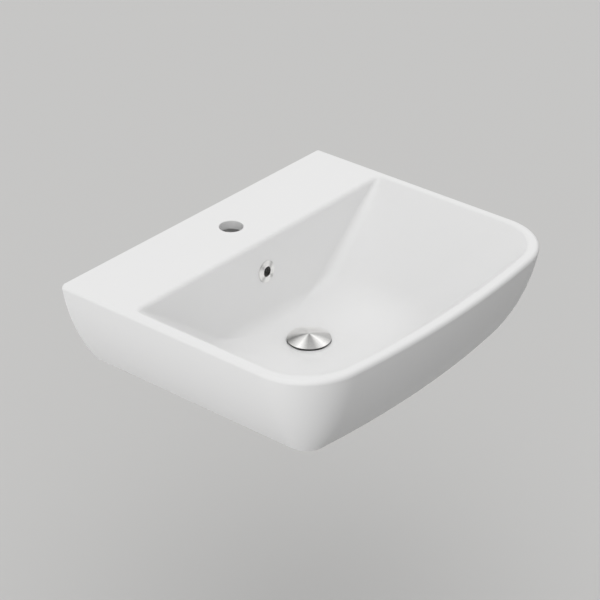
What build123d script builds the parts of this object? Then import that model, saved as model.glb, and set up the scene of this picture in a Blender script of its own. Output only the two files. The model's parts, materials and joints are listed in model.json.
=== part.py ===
from build123d import *
from math import sin, cos, tan, sqrt, radians
import os

# Wall-hung basin. Millimetres, +Z up, +Y into the wall, front towards -Y.
# The origin is on the wall plane, midway between the two fixing holes.

# ceramic body
basin_width = 550
basin_depth = 460
skirt_height = 145
fixing_drop = 75
corner_radius = 90
front_radius = 1540
rim_rounding = 6
skin_lean_top = 9.5
skin_inset = 61
back_rounding = 2.5

# bowl
rim_side = 13
rim_front = 15
deck_length = 126.5
bowl_depth = 133
waste_y = -209
side_lean = 49.5
front_lean = 44
rear_lean = 4.5
wall_depth = 98.5
rear_wall_depth = 109
landing = 40
side_floor_fall = 10
front_floor_fall = 8
rear_floor_fall = 8
rear_corner_top = 7
rear_corner_gain = 19
rear_corner_power = 3
front_corner = 80
front_corner_share = 0.85
front_arc_ratio = 5.9
bowl_edge_rounding = 7
wall_middle = 36
floor_steps = 6

# shell and underside
skin_wall = 12
deck_thickness = 13
back_wall = 12
shell_drop = 11
shell_side = 4
shell_front = 4.5
shell_rear = 10
rim_solid = 32
boss_radius = 42
waste_hole_radius = 23
recess_radius = 32

# depths of the waste seat below the bowl floor
recess_drop = 4.5
boss_drop = 29

# overflow
overflow_drop = 50
overflow_hole_radius = 12
channel_half_width = 15
channel_wall = 9
channel_depth = 14
channel_top = 34
channel_roof = 12
channel_floor = 20
roof_bulge = 6.5
roof_bulge_drop = 4

# tap hole and wall fixing
tap_hole_radius = 17.5
tap_hole_y = -65
fixing_spacing = 280
fixing_hole_radius = 7
tap_hole_rounding = 0.8

# running and fitting clearances
running = 0.05
fitting = 0.1
soft_gap = 0.3

# how far cuts and their paths run past the faces that they open
overrun = 5
path_overrun = 20
profile_overrun = 30

# click waste, radii and depths below the bowl floor
cap_radius = 31.7
cap_bottom = -3
cap_edge = 0.8
cap_crown = 8
cap_crown_middle = 5.9
cap_boss_radius = 6.5
cap_boss_bottom = 3
cap_socket_top = -7.5
seal_inner = 25.6
seal_groove_outer = 30
seal_groove_top = -4.5
seal_lip_radius = 31
flange_radius = 31
flange_top = 0.2
flange_bottom = 3
flange_mouth_radius = 22.5
funnel_bottom = 4
waste_tube_radius = 20.95
waste_bore_radius = 18.5
waste_tube_bottom = 82
waste_tail = 32
relief_width = 3
relief_depth = 1
slot_width = 9
slot_top = 10
slot_bottom = 23
slot_count = 4
hub_outer = 12
hub_top = 50
hub_bottom = 60
arm_width = 3

# click cartridge
stroke = 8
stem_radius = 4
stem_thread_radius = 3.4
stem_thread_top = -7
shoulder_radius = 5.5
shoulder_top = 27.4
shoulder_bottom = 43
spigot_radius = 2.6
spigot_bottom = 47
sleeve_radius = 8
sleeve_top = 13
sleeve_bottom = 71
sleeve_collar_radius = 10.5
sleeve_collar_height = 3
neck_bottom = 19
pin_radius = 1
pin_depth = 30.3
track_depth = 2
plug_height = 4
spring_radius = 4.3
spring_wire = 0.5
spring_turns = 8
stem_seal_top = 15
stem_seal_height = 2

# gaskets and nuts of the waste
flange_gasket_inner = 23.5
flange_gasket_outer = 30.5
cone_washer_radius = 31
cone_washer_height = 5
slip_washer_radius = 30
slip_washer_height = 2
back_nut_flats = 52
back_nut_height = 10

# overflow trim
trim_radius = 16.4
trim_edge = 1.2
trim_height = 2.4
trim_bore = 7.4
trim_sleeve_radius = 9.5
trim_sleeve_length = 13
insert_radius = 11.9
insert_flange_radius = 12.4
insert_flange = 0.9
insert_length = 15
barb_radius = 12.9
barb_start = 11.7
trim_gasket_inner = 12.7
trim_gasket_outer = 15.2
trim_gasket = 1

# hanger bolts
bolt_radius = 5
bolt_front = 42
bolt_back = 62
bolt_point = 12
bolt_screw_radius = 4.6
bolt_neck_radius = 4.2
bolt_neck_start = 1
bolt_neck_length = 6
bush_radius = 6.9
bush_flange_radius = 14
bush_flange = 3
washer_radius = 13
washer_thickness = 2
nut_flats = 17
nut_height = 8


def level(depth):
    """Height of a plane that lies this far below the deck."""
    return fixing_drop - depth


def under_floor(depth):
    """Height of a plane that lies this far below the floor of the bowl."""
    return level(bowl_depth + depth)


def dish(depth, edge, lean, straight, fall):
    """Distance of the bowl surface from the waste axis: a leaning wall, an arc, then a sloping floor."""
    wall_end = edge - straight * tan(radians(lean))
    steep = radians(90 - lean)
    shallow = radians(fall)
    run = wall_end - landing
    drop = bowl_depth - straight
    bend = (cos(shallow) - cos(steep)) - (sin(steep) - sin(shallow)) * tan(shallow)
    radius = (drop - run * tan(shallow)) / bend
    centre = wall_end - radius * sin(steep)
    centre_depth = straight - radius * cos(steep)
    arc_end = centre_depth + radius * cos(shallow)
    if depth <= straight:
        return edge - depth * tan(radians(lean))
    if depth <= arc_end:
        return centre + sqrt(radius**2 - (depth - centre_depth) ** 2)
    return landing + (bowl_depth - depth) / tan(shallow)


def plan_face(depth, half_width, back, front, front_fillet, rear_fillet, arc_radius):
    """Plan of the basin or bowl at one depth: straight back and sides, and an arc in front."""
    arc_end = front + arc_radius - sqrt(arc_radius**2 - half_width**2)
    with BuildSketch(Plane.XY.offset(level(depth))) as plan:
        with BuildLine():
            Polyline(
                (half_width, arc_end), (half_width, back), (-half_width, back), (-half_width, arc_end)
            )
            ThreePointArc((-half_width, arc_end), (0, front), (half_width, arc_end))
        make_face()
        fillet(plan.vertices().group_by(Axis.Y)[0], front_fillet)
        if rear_fillet > 0:
            fillet(plan.vertices().group_by(Axis.Y)[-1], rear_fillet)
    return plan.sketch


def outer_face(depth, back):
    """Plan of the basin's widest outline, cut off at this distance from the wall."""
    return plan_face(depth, basin_width / 2, back, -basin_depth, corner_radius, 0, front_radius)


def bowl_face(depth, side_grow, front_grow, rear_grow, drop):
    """Plan of the bowl at one depth, or of the shell round it when it is grown and dropped."""
    half_width = dish(depth, basin_width / 2 - rim_side, side_lean, wall_depth, side_floor_fall)
    front = dish(depth, basin_depth - rim_front + waste_y, front_lean, wall_depth, front_floor_fall)
    rear = dish(depth, -deck_length - waste_y, rear_lean, rear_wall_depth, rear_floor_fall)
    rear_fillet = rear_corner_top + rear_corner_gain * (1 - (1 - depth / bowl_depth) ** rear_corner_power)
    front_fillet = min(front_corner, front_corner_share * half_width)
    return plan_face(
        depth + drop,
        half_width + side_grow,
        waste_y + rear + rear_grow,
        waste_y - front - front_grow,
        front_fillet + side_grow,
        rear_fillet + side_grow,
        front_arc_ratio * half_width,
    )


def floor_depths():
    """Depths of the plans between the foot of the wall and the landing."""
    return [wall_depth + (bowl_depth - wall_depth) * step / floor_steps for step in range(floor_steps + 1)]


def skin_profile(inset):
    """Everything outside the rim rounding and the curved skin, moved inwards by inset."""
    lean = radians(skin_lean_top)
    start = (rim_rounding * (cos(lean) - 1), -rim_rounding * (1 + sin(lean)))
    profile_place = (basin_width / 2 - inset, path_overrun, level(0))
    with BuildSketch(Plane(profile_place, x_dir=(1, 0, 0), z_dir=(0, -1, 0))) as profile:
        with BuildLine():
            rounding = TangentArc((-rim_rounding, 0), start, tangent=(1, 0))
            skin = TangentArc(rounding @ 1, (-skin_inset, -skirt_height), tangent=rounding % 1)
            tail = Line(skin @ 1, skin @ 1 + skin % 1 * path_overrun)
            Polyline(
                tail @ 1,
                (inset + profile_overrun, (tail @ 1).Y),
                (inset + profile_overrun, overrun),
                (-rim_rounding, overrun),
                (-rim_rounding, 0),
            )
        make_face()
    return profile.sketch


def skin_path(inset):
    """The two sides, the corners and the front arc in plan, from behind the wall and back."""
    half_width = basin_width / 2 - inset
    front = inset - basin_depth
    outline = plan_face(0, half_width, path_overrun, front, corner_radius - inset, 0, front_radius - inset)
    return Wire(outline.edges().sort_by(Axis.Y)[:-1])


def waste_face(*corners):
    """Half section about the waste axis, its corners given as radius and depth below the bowl floor."""
    with BuildSketch(waste_plane) as section:
        with BuildLine():
            Polyline(*[(radius, -depth) for radius, depth in corners], close=True)
        make_face()
    return section.sketch


def trim_face(*corners):
    """Half section about the overflow axis, its corners given as radius and height off the bowl wall."""
    with BuildSketch(trim_plane) as section:
        with BuildLine():
            Polyline(*corners, close=True)
        make_face()
    return section.sketch


def rear_wall_y(depth):
    """Where the rear wall of the bowl stands at one depth."""
    return -deck_length - depth * tan(radians(rear_lean))


waste_plane = Plane((0, waste_y, under_floor(0)), x_dir=(1, 0, 0), z_dir=(0, -1, 0))
waste_axis = Axis((0, waste_y, 0), (0, 0, 1))
overflow_centre = (0, rear_wall_y(overflow_drop), level(overflow_drop))
overflow_out = (0, -cos(radians(rear_lean)), sin(radians(rear_lean)))
overflow_plane = Plane(overflow_centre, x_dir=(1, 0, 0), z_dir=overflow_out)
trim_plane = Plane(
    overflow_centre, x_dir=(1, 0, 0), z_dir=(0, -sin(radians(rear_lean)), -cos(radians(rear_lean)))
)
trim_axis = Axis(overflow_centre, overflow_out)
side_plane = Plane((0, 0, level(0)), x_dir=(0, 1, 0), z_dir=(1, 0, 0))
channel_back = rear_wall_y(channel_top) + shell_rear + channel_depth

# space between the bowl and the outer skin, open at the bottom
with BuildPart() as shell_gap:
    add(outer_face(deck_thickness, -back_wall))
    extrude(amount=deck_thickness - bowl_depth - boss_drop)
    with BuildSketch(Plane.XY.offset(level(deck_thickness))):
        with Locations((0, -deck_length)):
            Rectangle(basin_width, basin_depth, align=(Align.CENTER, Align.MAX))
    extrude(amount=deck_thickness - rim_solid, mode=Mode.SUBTRACT)
    sweep(sections=skin_profile(skin_wall), path=skin_path(skin_wall), mode=Mode.SUBTRACT)
    loft(
        sections=[bowl_face(d, shell_side, shell_front, shell_rear, shell_drop) for d in (0, wall_middle, wall_depth)],
        ruled=True,
        mode=Mode.SUBTRACT,
    )
    loft(
        sections=[bowl_face(d, shell_side, shell_front, shell_rear, shell_drop) for d in floor_depths()],
        mode=Mode.SUBTRACT,
    )

# ceramic body with the overflow channel and the waste boss
with BuildPart() as basin_body:
    add(outer_face(0, 0))
    extrude(amount=-skirt_height)
    sweep(sections=skin_profile(0), path=skin_path(0), mode=Mode.SUBTRACT)
    add(shell_gap.part, mode=Mode.SUBTRACT)
    with BuildSketch(Plane.XY.offset(under_floor(recess_drop))):
        with Locations((0, waste_y)):
            Circle(boss_radius)
    extrude(amount=recess_drop - boss_drop)
    with BuildSketch(side_plane):
        with BuildLine():
            Polyline(
                (rear_wall_y(channel_top) + shell_rear / 2, channel_wall - channel_top),
                (channel_back + channel_wall, channel_wall - channel_top),
                (channel_back + channel_wall, -bowl_depth - boss_drop),
                (waste_y, -bowl_depth - boss_drop),
                (waste_y, -bowl_depth - recess_drop),
                (rear_wall_y(rear_wall_depth), -bowl_depth - recess_drop),
                close=True,
            )
        make_face()
    extrude(amount=channel_half_width + channel_wall, both=True)
    loft(
        sections=[bowl_face(d, 0, 0, 0, 0) for d in (-overrun, 0, wall_middle, wall_depth)],
        ruled=True,
        mode=Mode.SUBTRACT,
    )
    loft(sections=[bowl_face(d, 0, 0, 0, 0) for d in floor_depths()], mode=Mode.SUBTRACT)
    shell_back = rear_wall_y(rear_wall_depth) + shell_rear
    roof_middle = -(rear_wall_depth + shell_drop + bowl_depth + channel_roof) / 2
    with BuildSketch(side_plane):
        with BuildLine():
            roof = Polyline(
                (shell_back + 1, -rear_wall_depth - shell_drop),
                (rear_wall_y(channel_top) + shell_rear + 1, -channel_top),
                (channel_back, -channel_top),
                (channel_back, -bowl_depth - channel_floor),
                (waste_y, -bowl_depth - channel_floor),
                (waste_y, -bowl_depth - channel_roof),
                (waste_y + landing + shell_rear, -bowl_depth - channel_roof),
            )
            ThreePointArc(roof @ 1, (shell_back - roof_bulge, roof_middle - roof_bulge_drop), roof @ 0)
        make_face()
    extrude(amount=channel_half_width, both=True, mode=Mode.SUBTRACT)
    with BuildSketch(overflow_plane.offset(overrun)):
        Circle(overflow_hole_radius)
    extrude(amount=-overrun - channel_depth, mode=Mode.SUBTRACT)
    with BuildSketch(Plane.XY.offset(level(0))):
        with Locations((0, tap_hole_y)):
            Circle(tap_hole_radius)
    extrude(amount=-deck_thickness - overrun, mode=Mode.SUBTRACT)
    with BuildSketch(Plane.XY.offset(under_floor(-overrun))):
        with Locations((0, waste_y)):
            Circle(recess_radius)
    extrude(amount=-overrun - recess_drop, mode=Mode.SUBTRACT)
    with BuildSketch(Plane.XY.offset(under_floor(0))):
        with Locations((0, waste_y)):
            Circle(waste_hole_radius)
    extrude(amount=-boss_drop - overrun, mode=Mode.SUBTRACT)
    with BuildSketch(Plane.XZ.offset(-overrun)):
        with Locations((-fixing_spacing / 2, 0), (fixing_spacing / 2, 0)):
            Circle(fixing_hole_radius)
    extrude(amount=back_wall + 2 * overrun, mode=Mode.SUBTRACT)
    deck = basin_body.faces().filter_by(Axis.Z).sort_by(Axis.Z)[-1]
    rim_loop = deck.inner_wires().sort_by(SortBy.LENGTH)[-1]
    fillet(rim_loop.edges(), bowl_edge_rounding)
    deck = basin_body.faces().filter_by(Axis.Z).sort_by(Axis.Z)[-1]
    fillet(deck.inner_wires().sort_by(SortBy.LENGTH)[0].edges(), tap_hole_rounding)
    back_face = basin_body.faces().filter_by(Axis.Y).sort_by(Axis.Y)[-1]
    fillet(back_face.outer_wire().edges().sort_by(Axis.Z)[1:], back_rounding)

# overflow trim: brushed ring, its gasket and the barbed insert it clips into
with BuildPart() as overflow_ring:
    add(
        trim_face(
            (trim_bore, -trim_sleeve_length),
            (trim_sleeve_radius, -trim_sleeve_length),
            (trim_sleeve_radius, trim_gasket),
            (trim_gasket_outer + fitting, trim_gasket),
            (trim_gasket_outer + fitting, fitting),
            (trim_radius - 0.3, fitting),
            (trim_radius, 0.4),
            (trim_radius, trim_edge - 0.2),
            (trim_radius - 0.3, trim_edge),
            (trim_bore + 1.1, trim_height),
            (trim_bore + 0.5, trim_height),
            (trim_bore, trim_height - 0.6),
        )
    )
    revolve(axis=trim_axis)

with BuildPart() as overflow_gasket:
    add(
        trim_face(
            (trim_gasket_inner, 0),
            (trim_gasket_outer, 0),
            (trim_gasket_outer, trim_gasket),
            (trim_gasket_inner, trim_gasket),
        )
    )
    revolve(axis=trim_axis)

with BuildPart() as overflow_insert:
    add(
        trim_face(
            (trim_sleeve_radius + running, -insert_length),
            (insert_radius, -insert_length),
            (barb_radius, -barb_start - 1.3),
            (barb_radius, -barb_start),
            (insert_radius, -barb_start),
            (insert_radius, 0),
            (insert_flange_radius, 0),
            (insert_flange_radius, insert_flange),
            (trim_sleeve_radius + running, insert_flange),
        )
    )
    revolve(axis=trim_axis)
    with BuildSketch(overflow_plane.offset(-insert_length)):
        with PolarLocations(0, 4):
            Rectangle(2.5, 3 * insert_radius)
    extrude(amount=insert_length - 6, mode=Mode.SUBTRACT)

# plug that closes the waste, brushed dome with a boss for the stem
with BuildPart() as waste_cap:
    with BuildSketch(waste_plane):
        with BuildLine():
            crown = ThreePointArc(
                (0, cap_crown - cap_bottom),
                (cap_radius / 2, cap_crown_middle - cap_bottom),
                (cap_radius, cap_edge - cap_bottom),
            )
            Polyline(
                crown @ 1,
                (cap_radius, 0.3 - cap_bottom),
                (cap_radius - 0.3, -cap_bottom),
                (seal_groove_outer, -cap_bottom),
                (seal_groove_outer, -seal_groove_top),
                (seal_inner - 1, -seal_groove_top),
                (seal_inner - 3, -seal_groove_top + 2.5),
                (cap_boss_radius, -seal_groove_top + 2.5),
                (cap_boss_radius, -cap_boss_bottom),
                (stem_thread_radius, -cap_boss_bottom),
                (stem_thread_radius, -cap_socket_top),
                (0, -cap_socket_top),
                crown @ 0,
            )
        make_face()
    revolve(axis=waste_axis)

with BuildPart() as cap_seal:
    add(
        waste_face(
            (seal_inner, seal_groove_top),
            (seal_groove_outer - fitting, seal_groove_top),
            (seal_groove_outer - fitting, cap_bottom),
            (seal_lip_radius, cap_bottom),
            (seal_lip_radius, cap_bottom + 1.6),
            (seal_lip_radius - 1.5, flange_top - soft_gap),
            (seal_inner, flange_top - soft_gap),
        )
    )
    revolve(axis=waste_axis)

# click cartridge
track_width = 2 * (pin_radius + fitting)
with BuildPart() as stem:
    add(
        waste_face(
            (0, stem_thread_top),
            (stem_thread_radius, stem_thread_top),
            (stem_thread_radius, cap_boss_bottom),
            (stem_radius, cap_boss_bottom),
            (stem_radius, shoulder_top),
            (shoulder_radius, shoulder_top),
            (shoulder_radius, shoulder_bottom),
            (spigot_radius, shoulder_bottom),
            (spigot_radius, spigot_bottom),
            (0, spigot_bottom),
        )
    )
    revolve(axis=waste_axis)
    with BuildSketch(waste_plane.offset(shoulder_radius)):
        with Locations((0, pin_radius + fitting - pin_depth)):
            Rectangle(track_width, stroke + track_width, align=(Align.CENTER, Align.MAX))
    extrude(amount=-track_depth, mode=Mode.SUBTRACT)

with BuildPart() as cartridge_sleeve:
    add(
        waste_face(
            (stem_radius + running, sleeve_top),
            (sleeve_radius - 1, sleeve_top),
            (sleeve_radius, sleeve_top + 1),
            (sleeve_radius, hub_top - sleeve_collar_height),
            (sleeve_collar_radius, hub_top - sleeve_collar_height),
            (sleeve_collar_radius, hub_top),
            (sleeve_radius, hub_top),
            (sleeve_radius, sleeve_bottom),
            (shoulder_radius + running, sleeve_bottom),
            (shoulder_radius + running, neck_bottom),
            (stem_radius + running, neck_bottom),
            (stem_radius + running, stem_seal_top + stem_seal_height),
            (stem_radius + 1.6, stem_seal_top + stem_seal_height),
            (stem_radius + 1.6, stem_seal_top),
            (stem_radius + running, stem_seal_top),
        )
    )
    revolve(axis=waste_axis)
    with BuildSketch(waste_plane):
        with Locations((0, -pin_depth)):
            Circle(pin_radius)
    extrude(amount=sleeve_radius + 1, mode=Mode.SUBTRACT)

with BuildPart() as stem_seal:
    with BuildSketch(waste_plane):
        with Locations((stem_radius + soft_gap + 0.6, -stem_seal_top - stem_seal_height / 2)):
            Circle(0.6)
    revolve(axis=waste_axis)

with BuildPart() as track_pin:
    with BuildSketch(waste_plane.offset(sleeve_radius)):
        with Locations((0, -pin_depth)):
            Circle(pin_radius)
    extrude(amount=shoulder_radius - track_depth + 0.4 - sleeve_radius)

with BuildPart() as cartridge_plug:
    add(
        waste_face(
            (1.5, sleeve_bottom - plug_height),
            (shoulder_radius + running, sleeve_bottom - plug_height),
            (shoulder_radius + running, sleeve_bottom),
            (1.5, sleeve_bottom),
        )
    )
    revolve(axis=waste_axis)

spring_bottom = sleeve_bottom - plug_height - spring_wire
spring_rise = spring_bottom - shoulder_bottom - spring_wire
with BuildPart() as cartridge_spring:
    with BuildLine():
        foot = (0, waste_y, under_floor(spring_bottom))
        coil = Helix(spring_rise / spring_turns, spring_rise, spring_radius, center=foot)
    with BuildSketch(Plane(coil @ 0, z_dir=coil % 0)):
        Circle(spring_wire)
    sweep(path=coil, is_frenet=True)

# slotted waste with its gaskets and back nut
relief_bottom = waste_tube_bottom - waste_tail
with BuildPart() as waste_body:
    add(
        waste_face(
            (flange_mouth_radius, flange_top),
            (flange_radius - 0.6, flange_top),
            (flange_radius, flange_top + 0.6),
            (flange_radius, flange_bottom),
            (waste_tube_radius, flange_bottom),
            (waste_tube_radius, relief_bottom - relief_width),
            (waste_tube_radius - relief_depth, relief_bottom - relief_width),
            (waste_tube_radius - relief_depth, relief_bottom),
            (waste_tube_radius, relief_bottom),
            (waste_tube_radius, waste_tube_bottom - 1),
            (waste_tube_radius - 1, waste_tube_bottom),
            (waste_bore_radius, waste_tube_bottom),
            (waste_bore_radius, funnel_bottom),
        )
    )
    revolve(axis=waste_axis)
    with BuildSketch(Plane.XY.offset(under_floor(hub_top))):
        with Locations((0, waste_y)):
            Circle(hub_outer)
            with PolarLocations(0, slot_count, start_angle=45):
                Rectangle(waste_bore_radius + 1, arm_width, align=(Align.MIN, Align.CENTER))
            Circle(sleeve_radius, mode=Mode.SUBTRACT)
    extrude(amount=hub_top - hub_bottom)
    for turn in range(slot_count):
        slot_plane = Plane((0, waste_y, under_floor(slot_top)), x_dir=(0, 0, 1), z_dir=(1, 0, 0))
        with BuildSketch(slot_plane.rotated((turn * 360 / slot_count, 0, 0))):
            with Locations(((slot_top - slot_bottom) / 2, 0)):
                SlotOverall(slot_bottom - slot_top, slot_width)
        extrude(amount=waste_tube_radius + 2, mode=Mode.SUBTRACT)

with BuildPart() as flange_gasket:
    with BuildSketch(Plane.XY.offset(under_floor(flange_bottom))):
        with Locations((0, waste_y)):
            Circle(flange_gasket_outer)
            Circle(flange_gasket_inner, mode=Mode.SUBTRACT)
    extrude(amount=flange_bottom - recess_drop)

cone_bottom = boss_drop + cone_washer_height
with BuildPart() as cone_washer:
    add(
        waste_face(
            (waste_tube_radius + fitting, boss_drop),
            (cone_washer_radius, boss_drop),
            (cone_washer_radius, boss_drop + 2),
            (cone_washer_radius - 5, cone_bottom),
            (waste_tube_radius + fitting, cone_bottom),
        )
    )
    revolve(axis=waste_axis)

with BuildPart() as slip_washer:
    with BuildSketch(Plane.XY.offset(under_floor(cone_bottom))):
        with Locations((0, waste_y)):
            Circle(slip_washer_radius)
            Circle(waste_tube_radius + fitting, mode=Mode.SUBTRACT)
    extrude(amount=-slip_washer_height)

with BuildPart() as back_nut:
    with BuildSketch(Plane.XY.offset(under_floor(cone_bottom + slip_washer_height))):
        with Locations((0, waste_y)):
            RegularPolygon(back_nut_flats / 2, 6, major_radius=False)
            Circle(waste_tube_radius, mode=Mode.SUBTRACT)
    extrude(amount=-back_nut_height)
    nut_rims = back_nut.faces().filter_by(Axis.Z)
    chamfer([edge for face in nut_rims for edge in face.outer_wire().edges()], 1)

# wall fixings, one of each at both fixing holes
bolt_places = [(-fixing_spacing / 2, 0), (fixing_spacing / 2, 0)]
bush_front = back_wall + bush_flange
washer_front = bush_front + washer_thickness

with BuildPart() as hanger_bolts:
    with BuildSketch(Plane.XZ.offset(bolt_point - bolt_back)):
        with Locations(bolt_places):
            Circle(bolt_radius)
    extrude(amount=bolt_front + bolt_back - bolt_point)
    with BuildSketch(Plane.XZ.offset(bolt_point - bolt_back)):
        with Locations(bolt_places):
            Circle(bolt_screw_radius)
    extrude(amount=-bolt_point, taper=20)
    with BuildSketch(Plane.XZ.offset(bolt_point - bolt_back)):
        with Locations(bolt_places):
            Circle(bolt_radius + 1)
            Circle(bolt_screw_radius, mode=Mode.SUBTRACT)
    extrude(amount=bolt_back - bolt_point - bolt_neck_start, mode=Mode.SUBTRACT)
    with BuildSketch(Plane.XZ.offset(-bolt_neck_start)):
        with Locations(bolt_places):
            Circle(bolt_radius + 1)
            Circle(bolt_neck_radius, mode=Mode.SUBTRACT)
    extrude(amount=-bolt_neck_length, mode=Mode.SUBTRACT)
    chamfer(hanger_bolts.faces().sort_by(Axis.Y)[:2].edges(), 1)

with BuildPart() as fixing_bushes:
    with BuildSketch(Plane.XZ.offset(back_wall)):
        with Locations(bolt_places):
            Circle(bush_flange_radius)
    extrude(amount=bush_flange)
    with BuildSketch(Plane.XZ.offset(1)):
        with Locations(bolt_places):
            Circle(bush_radius)
    extrude(amount=back_wall - 1)
    with BuildSketch(Plane.XZ):
        with Locations(bolt_places):
            Circle(bolt_radius + running)
    extrude(amount=bush_front + 1, mode=Mode.SUBTRACT)

with BuildPart() as fixing_washers:
    with BuildSketch(Plane.XZ.offset(bush_front)):
        with Locations(bolt_places):
            Circle(washer_radius)
            Circle(bolt_radius + fitting, mode=Mode.SUBTRACT)
    extrude(amount=washer_thickness)

with BuildPart() as fixing_nuts:
    with BuildSketch(Plane.XZ.offset(washer_front)):
        with Locations(bolt_places):
            RegularPolygon(nut_flats / 2, 6, major_radius=False)
            Circle(bolt_radius, mode=Mode.SUBTRACT)
    extrude(amount=nut_height)

basin_parts = {
    "basin_body": basin_body,
    "overflow_ring": overflow_ring,
    "overflow_gasket": overflow_gasket,
    "overflow_insert": overflow_insert,
    "waste_cap": waste_cap,
    "cap_seal": cap_seal,
    "stem": stem,
    "cartridge_sleeve": cartridge_sleeve,
    "stem_seal": stem_seal,
    "track_pin": track_pin,
    "cartridge_plug": cartridge_plug,
    "cartridge_spring": cartridge_spring,
    "waste_body": waste_body,
    "flange_gasket": flange_gasket,
    "cone_washer": cone_washer,
    "slip_washer": slip_washer,
    "back_nut": back_nut,
    "hanger_bolts": hanger_bolts,
    "fixing_bushes": fixing_bushes,
    "fixing_washers": fixing_washers,
    "fixing_nuts": fixing_nuts,
}

os.makedirs("parts", exist_ok=True)
for name, made in basin_parts.items():
    made.part.label = name
    export_step(made.part, f"parts/{name}.step")
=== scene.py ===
"""Wall-hung ceramic basin with a push plug, an overflow trim and its wall fixings, in metres."""
import json
from math import sin, cos, radians, tau

import bpy
import numpy as np
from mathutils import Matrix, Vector


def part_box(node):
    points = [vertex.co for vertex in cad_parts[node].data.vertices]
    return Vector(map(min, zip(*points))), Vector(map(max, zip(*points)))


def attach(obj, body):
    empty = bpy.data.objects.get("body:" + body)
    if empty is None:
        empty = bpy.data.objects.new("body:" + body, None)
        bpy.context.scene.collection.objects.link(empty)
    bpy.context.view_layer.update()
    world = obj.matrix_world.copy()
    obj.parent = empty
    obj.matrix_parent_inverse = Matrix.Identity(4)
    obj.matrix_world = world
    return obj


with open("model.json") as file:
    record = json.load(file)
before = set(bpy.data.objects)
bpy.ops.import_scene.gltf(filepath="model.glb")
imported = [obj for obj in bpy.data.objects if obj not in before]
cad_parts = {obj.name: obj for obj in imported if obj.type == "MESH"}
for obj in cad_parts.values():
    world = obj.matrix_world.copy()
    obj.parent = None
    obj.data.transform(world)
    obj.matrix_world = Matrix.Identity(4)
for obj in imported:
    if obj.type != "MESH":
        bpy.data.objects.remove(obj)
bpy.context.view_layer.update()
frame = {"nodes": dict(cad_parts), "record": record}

# a Mix node's colour sockets go by number, because its other sockets share their names
colour_a = 6
colour_b = 7
colour_mixed = 2


class Link:
    """A node's output. Arithmetic on it adds Math nodes, and node() adds any other node."""

    def __init__(self, socket):
        self.socket = socket

    def node(self, kind, settings=None, inputs=None, output=0):
        """Adds one node: its settings first, then its sockets' values or links, and returns one output."""
        tree = self.socket.id_data
        made = tree.nodes.new(kind)
        for name, value in (settings or {}).items():
            if name == "stops":
                fill_ramp(made.color_ramp, value)
            else:
                setattr(made, name, value)
        for name, value in (inputs or {}).items():
            if isinstance(value, Link):
                tree.links.new(value.socket, made.inputs[name])
            else:
                made.inputs[name].default_value = value
        return Link(made.outputs[output])

    def math(self, operation, *others):
        """One Math node that takes this value first."""
        return self.node("ShaderNodeMath", {"operation": operation}, dict(enumerate((self, *others))))

    def vector(self, operation, other=None, output=0):
        """One Vector Math node that takes this vector first."""
        inputs = {0: self} if other is None else {0: self, 1: other}
        return self.node("ShaderNodeVectorMath", {"operation": operation}, inputs, output)

    def part(self, axis):
        """One of this vector's numbers: 0 for X, 1 for Y and 2 for Z."""
        return self.node("ShaderNodeSeparateXYZ", {}, {0: self}, axis)

    def noise(self, scale, detail=2.0, stretch=None):
        """Noise over this vector, which may be stretched along its axes first."""
        grain = self if stretch is None else self.vector("MULTIPLY", stretch)
        return grain.node("ShaderNodeTexNoise", {}, {"Vector": grain, "Scale": scale, "Detail": detail})

    def noise_along(self, scale, detail):
        """Noise that changes with this one number alone."""
        inputs = {"W": self, "Scale": scale, "Detail": detail}
        return self.node("ShaderNodeTexNoise", {"noise_dimensions": "1D"}, inputs)

    def bump(self, depth, strength=1.0):
        """A normal for the shader, from this height times the depth in metres."""
        return self.node("ShaderNodeBump", {}, {"Height": self, "Strength": strength, "Distance": depth})

    def tint(self, colour):
        """This colour times another."""
        settings = {"data_type": "RGBA", "blend_type": "MULTIPLY"}
        inputs = {"Factor": 1.0, colour_a: self, colour_b: colour}
        return self.node("ShaderNodeMix", settings, inputs, colour_mixed)

    def __add__(self, other):
        return self.math("ADD", other)

    __radd__ = __add__

    def __mul__(self, other):
        return self.math("MULTIPLY", other)

    __rmul__ = __mul__

    def __sub__(self, other):
        return self.math("SUBTRACT", other)

    def __rsub__(self, other):
        return self * -1 + other

    def __truediv__(self, other):
        return self.math("DIVIDE", other)

    def __pow__(self, other):
        return self.math("POWER", other)

    def __gt__(self, other):
        return self.math("GREATER_THAN", other)


def fill_ramp(ramp, stops):
    """Sets a ramp's stops, given as pairs of a place and a colour."""
    while len(ramp.elements) < len(stops):
        ramp.elements.new(0.5)
    for element, (place, colour) in zip(ramp.elements, stops):
        element.position = place
        element.color = colour


def surface_material(name):
    """A new node material: the material, its shader and its place on the piece."""
    material = bpy.data.materials.new(name)
    material.use_nodes = True
    shader = material.node_tree.nodes["Principled BSDF"]
    place = material.node_tree.nodes.new("ShaderNodeTexCoord")
    return material, shader, Link(place.outputs["Object"])


def finish_shader(shader, **sockets):
    """Sets or links the shader's sockets, named with underscores for spaces."""
    tree = shader.id_data
    for name, value in sockets.items():
        socket = shader.inputs[name.replace("_", " ")]
        if isinstance(value, Link):
            tree.links.new(value.socket, socket)
        else:
            socket.default_value = value


def mix_colour(factor, first, second):
    """The first colour where the factor is 0 and the second where it is 1."""
    inputs = {"Factor": factor, colour_a: first, colour_b: second}
    return factor.node("ShaderNodeMix", {"data_type": "RGBA"}, inputs, colour_mixed)


def grey(level, warmth=0.0):
    """A colour of this linear level, a little less blue where it is warm."""
    return (level, level - 0.3 * warmth, level - warmth, 1)


def middle(node):
    """The middle of a node's box at rest."""
    return tuple((low + high) / 2 for low, high in zip(*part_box(node)))


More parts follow.
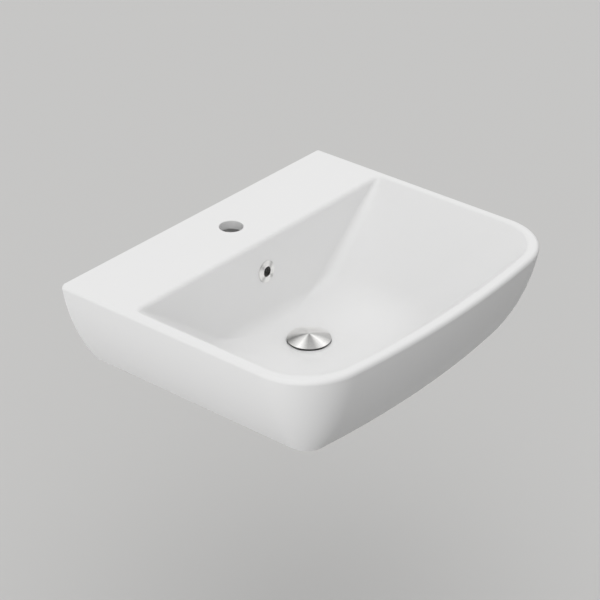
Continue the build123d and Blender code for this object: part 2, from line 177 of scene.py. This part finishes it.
def glazed_ceramic():
    """Fired white glaze with a faint orange peel, and bare biscuit where the back meets the wall."""
    bare_margin = 0.0012
    material, shader, place = surface_material("glazed_ceramic")
    clouds = place.noise(scale=7.0)
    peel = place.noise(scale=160.0, detail=1.0)
    glaze = mix_colour(clouds, grey(0.832, 0.004), grey(0.848, 0.002))
    biscuit = mix_colour(place.noise(scale=90.0, detail=6.0), grey(0.60, 0.05), grey(0.70, 0.04))
    bare = place.part(1) > -bare_margin
    finish_shader(
        shader,
        Base_Color=mix_colour(bare, glaze, biscuit),
        Roughness=0.3 + 0.05 * clouds + 0.5 * bare,
        Normal=peel.bump(depth=0.00006, strength=0.25),
        IOR=1.5,
    )
    return material


def brushed_rings_painted_sheen(name, centre, across, sectors, anisotropy):
    """Steel turned on an axis through the centre, where across is 1 on the two axes square to it.

    Fine rings lie round the axis. A fan of sheen is painted into the colour: the sectors give its level by
    the angle round the axis, and its edges are a little ragged from ring to ring.
    """
    ragged = 0.02
    material, shader, place = surface_material(name)
    arm = place.vector("SUBTRACT", centre).vector("MULTIPLY", across)
    radius = arm.vector("LENGTH", output=1)
    lines = radius.noise_along(scale=3800.0, detail=3.0)
    bands = radius.noise_along(scale=700.0, detail=1.0)
    blur = radius.noise_along(scale=1500.0, detail=2.0)
    turn = (arm.part(1) + arm.part(2)).math("ARCTAN2", arm.part(0)) / tau + 0.5
    fan = turn + ragged * blur - ragged / 2
    # painted sheen: these stops make the steel's colour lighter and darker by the angle round the axis, a
    # reflection fixed on the piece
    stops = [(edge, grey(level)) for edge, level in sectors]
    painted_sheen_colour = fan.node("ShaderNodeValToRGB", {"stops": stops}, {0: fan})
    finish_shader(
        shader,
        Base_Color=painted_sheen_colour.tint(mix_colour(bands, grey(0.90, 0.02), grey(1.0, 0.02))),
        Roughness=0.2 + 0.16 * lines,
        Normal=lines.bump(depth=0.00002, strength=0.5),
        Metallic=1.0,
        Anisotropic=anisotropy,
    )
    return material


def turned_metal(name, dark, light, roughness, stretch):
    """Metal with fine tool marks round its axis: the stretch is high along the axis and low across it."""
    material, shader, place = surface_material(name)
    marks = place.noise(scale=300.0, detail=3.0, stretch=stretch)
    stains = place.noise(scale=45.0, detail=3.0)
    finish_shader(
        shader,
        Base_Color=mix_colour(stains, dark, light),
        Roughness=roughness + 0.12 * marks,
        Normal=marks.bump(depth=0.00002, strength=0.4),
        Metallic=1.0,
    )
    return material


def moulded(name, dark, light, roughness, grain):
    """Rubber or plastic out of a mould: a faint mottle and a fine grain of this scale."""
    material, shader, place = surface_material(name)
    mottle = place.noise(scale=60.0, detail=3.0)
    texture = place.noise(scale=grain, detail=2.0)
    finish_shader(
        shader,
        Base_Color=mix_colour(mottle, dark, light),
        Roughness=roughness + 0.12 * texture,
        Normal=texture.bump(depth=0.00003, strength=0.5),
    )
    return material


# the plug and the waste are turned about Z, the overflow ring and the bolts about Y
across_z = (1, 1, 0)
across_y = (1, 0, 1)
marks_round_z = (0.2, 0.2, 8)
marks_round_y = (0.2, 8, 0.2)
# places round the axis, from 0 to 1 counterclockwise from -X, and the level of the painted sheen there:
# lighter and darker sectors of reflection put into the steel's colour
plug_painted_sheen = [
    (0.0, 0.85), (0.03, 1.0), (0.075, 0.55), (0.1, 0.36), (0.155, 0.36), (0.2, 0.7), (0.24, 1.0),
    (0.29, 0.75), (0.34, 0.55), (0.4, 0.65), (0.45, 0.95), (0.62, 1.0), (0.7, 0.9), (0.78, 1.0),
    (0.83, 0.9), (0.87, 0.6), (0.9, 0.3), (0.93, 0.55), (0.96, 0.75), (1.0, 0.85),
]
trim_painted_sheen = [
    (0.0, 1.0), (0.06, 0.95), (0.12, 0.62), (0.18, 0.95), (0.25, 1.0), (0.31, 0.97), (0.37, 0.58),
    (0.43, 0.92), (0.5, 1.0), (0.56, 0.92), (0.62, 0.55), (0.69, 0.97), (0.75, 1.0), (0.81, 0.92),
    (0.87, 0.6), (0.94, 0.97), (1.0, 1.0),
]
brass_dark = (0.66, 0.45, 0.17, 1)
brass_light = (0.80, 0.58, 0.26, 1)
zinc_dark = (0.50, 0.53, 0.57, 1)
zinc_light = (0.66, 0.67, 0.67, 1)
# finishes, and the nodes of the frame that wear them
finishes = {
    "glazed_ceramic": glazed_ceramic(),
    # the plug and the overflow ring carry a painted sheen in their colour: fans of lighter and darker
    # sectors
    "brushed_plug": brushed_rings_painted_sheen("brushed_plug", middle("waste_cap"), across_z, plug_painted_sheen, 0.85),
    "brushed_trim": brushed_rings_painted_sheen("brushed_trim", middle("overflow_ring"), across_y, trim_painted_sheen, 0.0),
    "black_rubber": moulded("black_rubber", grey(0.016), grey(0.026), 0.55, 900.0),
    "white_rubber": moulded("white_rubber", grey(0.66, 0.02), grey(0.74, 0.02), 0.5, 900.0),
    "black_plastic": moulded("black_plastic", grey(0.02), grey(0.03), 0.35, 1500.0),
    "white_plastic": moulded("white_plastic", grey(0.70, 0.03), grey(0.78, 0.02), 0.38, 1200.0),
    "stainless": turned_metal("stainless", grey(0.52), grey(0.62), 0.22, marks_round_z),
    "brass": turned_metal("brass", brass_dark, brass_light, 0.24, marks_round_z),
    "chromed_brass": turned_metal("chromed_brass", grey(0.66), grey(0.76), 0.1, marks_round_z),
    "zinc_steel": turned_metal("zinc_steel", zinc_dark, zinc_light, 0.3, marks_round_y),
}
worn_by = {
    "glazed_ceramic": ["basin_body"],
    "brushed_plug": ["waste_cap"],
    "brushed_trim": ["overflow_ring"],
    "black_rubber": ["overflow_gasket", "cap_seal", "stem_seal", "cone_washer"],
    "white_rubber": ["flange_gasket"],
    "black_plastic": ["overflow_insert"],
    "white_plastic": ["slip_washer", "fixing_bushes"],
    "stainless": ["stem", "track_pin", "cartridge_spring"],
    "brass": ["cartridge_sleeve", "cartridge_plug", "back_nut"],
    "chromed_brass": ["waste_body"],
    "zinc_steel": ["hanger_bolts", "fixing_washers", "fixing_nuts"],
}
for finish, nodes in worn_by.items():
    for node in nodes:
        mesh = frame["nodes"][node].data
        mesh.materials.clear()
        mesh.materials.append(finishes[finish])


def thread(name, foot, head, radius, pitch, height, finish):
    """A screw thread laid on a bar, from its foot to its head.

    At the angle a round the bar and the distance t along it, the surface lies at the bar's radius plus
    the height times a ridge, which is 1 less twice the distance of a / tau + t / pitch from the nearest
    half, and runs out to nothing over the first and last pitch. The two ends lie just under the bar.
    """
    sides = 48
    steps_per_pitch = 8
    end_tuck = 0.00002
    foot, head = np.array(foot), np.array(head)
    length = np.linalg.norm(head - foot)
    along = (head - foot) / length
    across = np.cross(along, (0, 1, 0) if abs(along[1]) < 0.5 else (1, 0, 0))
    across = across / np.linalg.norm(across)
    upright = np.cross(along, across)
    steps = int(round(length / pitch * steps_per_pitch))
    distance, angle = np.meshgrid(
        np.linspace(0, length, steps + 1), np.linspace(0, tau, sides, endpoint=False), indexing="ij"
    )
    phase = (angle / tau + distance / pitch) % 1
    ridge = 1 - 2 * np.abs(phase - 0.5)
    fade = np.clip(np.minimum(distance, length - distance) / pitch, 0, 1)
    reach = radius + height * (ridge * fade) - end_tuck * (fade == 0)
    points = (
        foot
        + distance[..., None] * along
        + (reach * np.cos(angle))[..., None] * across
        + (reach * np.sin(angle))[..., None] * upright
    )
    row, column = np.meshgrid(np.arange(steps), np.arange(sides), indexing="ij")
    here = row * sides + column
    beside = row * sides + (column + 1) % sides
    faces = np.stack([here, beside, beside + sides, here + sides], -1)
    mesh = bpy.data.meshes.new(name)
    mesh.from_pydata(points.reshape(-1, 3).tolist(), [], faces.reshape(-1, 4).tolist())
    mesh.shade_smooth()
    mesh.materials.append(finishes[finish])
    piece = bpy.data.objects.new(name, mesh)
    bpy.context.scene.collection.objects.link(piece)
    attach(piece, "basin")


# the waste's thread covers the length that the record states as a mount
waste_pitch = 0.0023
waste_ridge = 0.0006
mounts = {mount["name"]: mount for mount in frame["record"]["mounts"]}
tail = mounts["waste_tail"]
tail_x, tail_y, tail_z = tail["pos_m"]
tail_half = tail["dims"]["length_mm"] / 2000
thread(
    "waste_thread",
    (tail_x, tail_y, tail_z - tail_half),
    (tail_x, tail_y, tail_z + tail_half),
    tail["dims"]["r_mm"] / 1000,
    waste_pitch,
    waste_ridge,
    "chromed_brass",
)

# each wall bolt has a fine thread in front of its nut and a coarse one behind the wall's face
bolt_radius = 0.005
bolt_pitch = 0.0015
bolt_ridge = 0.0003
bolt_bevel = 0.001
screw_radius = mounts["wall_bolts"]["dims"]["stud_r_mm"] / 1000
screw_pitch = 0.0036
screw_ridge = 0.0007
screw_start = 0.0075
point_room = 0.0125
bolts_low, bolts_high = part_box("hanger_bolts")
nuts_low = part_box("fixing_nuts")[0]
bolt_x = mounts["wall_bolts"]["dims"]["pcd_mm"] / 2000
for side, x in (("left", -bolt_x), ("right", bolt_x)):
    thread(
        f"{side}_bolt_thread",
        (x, bolts_low[1] + bolt_bevel, 0),
        (x, nuts_low[1], 0),
        bolt_radius,
        bolt_pitch,
        bolt_ridge,
        "zinc_steel",
    )
    thread(
        f"{side}_screw_thread",
        (x, screw_start, 0),
        (x, bolts_high[1] - point_room, 0),
        screw_radius,
        screw_pitch,
        screw_ridge,
        "zinc_steel",
    )

# camera, where the basin's edges fall as they do in the photograph
view_azimuth = radians(-50.143)
view_elevation = radians(29.651)
view_distance = 3.1519
view_target = Vector((-0.00906, -0.2, 0.00769))
lens_length = 135.094
sensor_width = 36
sideways = cos(view_elevation)
back = Vector((sin(view_azimuth) * sideways, -cos(view_azimuth) * sideways, sin(view_elevation)))
camera = bpy.data.objects.new("camera", bpy.data.cameras.new("camera"))
camera.data.sensor_width = sensor_width
camera.data.lens = lens_length
camera.location = view_target + view_distance * back
camera.rotation_euler = back.to_track_quat("Z", "Y").to_euler()
bpy.context.scene.collection.objects.link(camera)
bpy.context.scene.camera = camera
bpy.context.scene.view_settings.view_transform = "Standard"


def pale_floor():
    """Pale to the eye and in reflections, and clear to the light that the room sends up from below."""
    floor_colour = grey(0.6, 0.01)
    material = bpy.data.materials.new("pale_floor")
    material.use_nodes = True
    tree = material.node_tree
    tree.nodes.clear()
    rays = tree.nodes.new("ShaderNodeLightPath")
    seen = Link(rays.outputs["Is Camera Ray"]).math("MAXIMUM", Link(rays.outputs["Is Glossy Ray"]))
    seen = seen.math("MAXIMUM", Link(rays.outputs["Is Transmission Ray"]))
    pale = seen.node("ShaderNodeBsdfDiffuse", {}, {"Color": floor_colour})
    clear = seen.node("ShaderNodeBsdfTransparent")
    both = seen.node("ShaderNodeMixShader", {}, {0: seen, 1: clear, 2: pale})
    shown = tree.nodes.new("ShaderNodeOutputMaterial")
    tree.links.new(both.socket, shown.inputs["Surface"])
    return material


# floor
floor_height = -0.6
floor_reach = 12
mesh = bpy.data.meshes.new("floor")
corners = [(-1, -1), (1, -1), (1, 1), (-1, 1)]
mesh.from_pydata([(floor_reach * x, floor_reach * y, floor_height) for x, y in corners], [], [(0, 1, 2, 3)])
mesh.materials.append(pale_floor())
floor = bpy.data.objects.new("floor", mesh)
bpy.context.scene.collection.objects.link(floor)

# soft light all round, as lobes seen from the basin: the direction of each, how narrow it is, its
# strength, and whether all of it shines or only what is above or below the horizon
softboxes = [
    ((0, 0, 1), 6, 1.42, "both"),
    ((-1, 0, 0), 8, 0.62, "both"),
    ((-1, 0, 0), 3, 0.93, "below"),
    ((-0.7, 0.5, -0.5), 6, 0.93, "both"),
    ((-0.8, -0.6, 0), 10, 1.58, "both"),
    ((-0.5, -0.5, 0.707), 6, 1.07, "both"),
    ((0.5, -0.5, 0.707), 6, 0.32, "both"),
    ((0.5, 0.5, 0.707), 6, 0.61, "both"),
    ((0, 1, 0), 2, 0.69, "above"),
    ((1, 0, 0), 2, 0.78, "above"),
]


def lobe(direction, above, aim, sharpness, strength, part):
    """Light from round an aim: the cosine to it, to the power of the sharpness, times the strength."""
    facing = direction.vector("DOT_PRODUCT", aim, output=1)
    lit = facing.math("MAXIMUM", 0.0) ** sharpness * strength
    if part == "above":
        return lit * above
    if part == "below":
        return lit * (1 - above)
    return lit


# the light passes from below the horizon to above it over a narrow slope, not in one step
horizon_slope = 20
world = bpy.data.worlds.new("studio")
bpy.context.scene.world = world
world.use_nodes = True
tree = world.node_tree
direction = Link(tree.nodes.new("ShaderNodeTexCoord").outputs["Generated"])
above = (direction.part(2) * horizon_slope + 0.5).math("MINIMUM", 1.0).math("MAXIMUM", 0.0)
glow = sum(lobe(direction, above, *softbox) for softbox in softboxes)
background = tree.nodes["Background"]
tree.links.new(glow.socket, background.inputs["Strength"])
background.inputs["Color"].default_value = (1, 1, 1, 1)
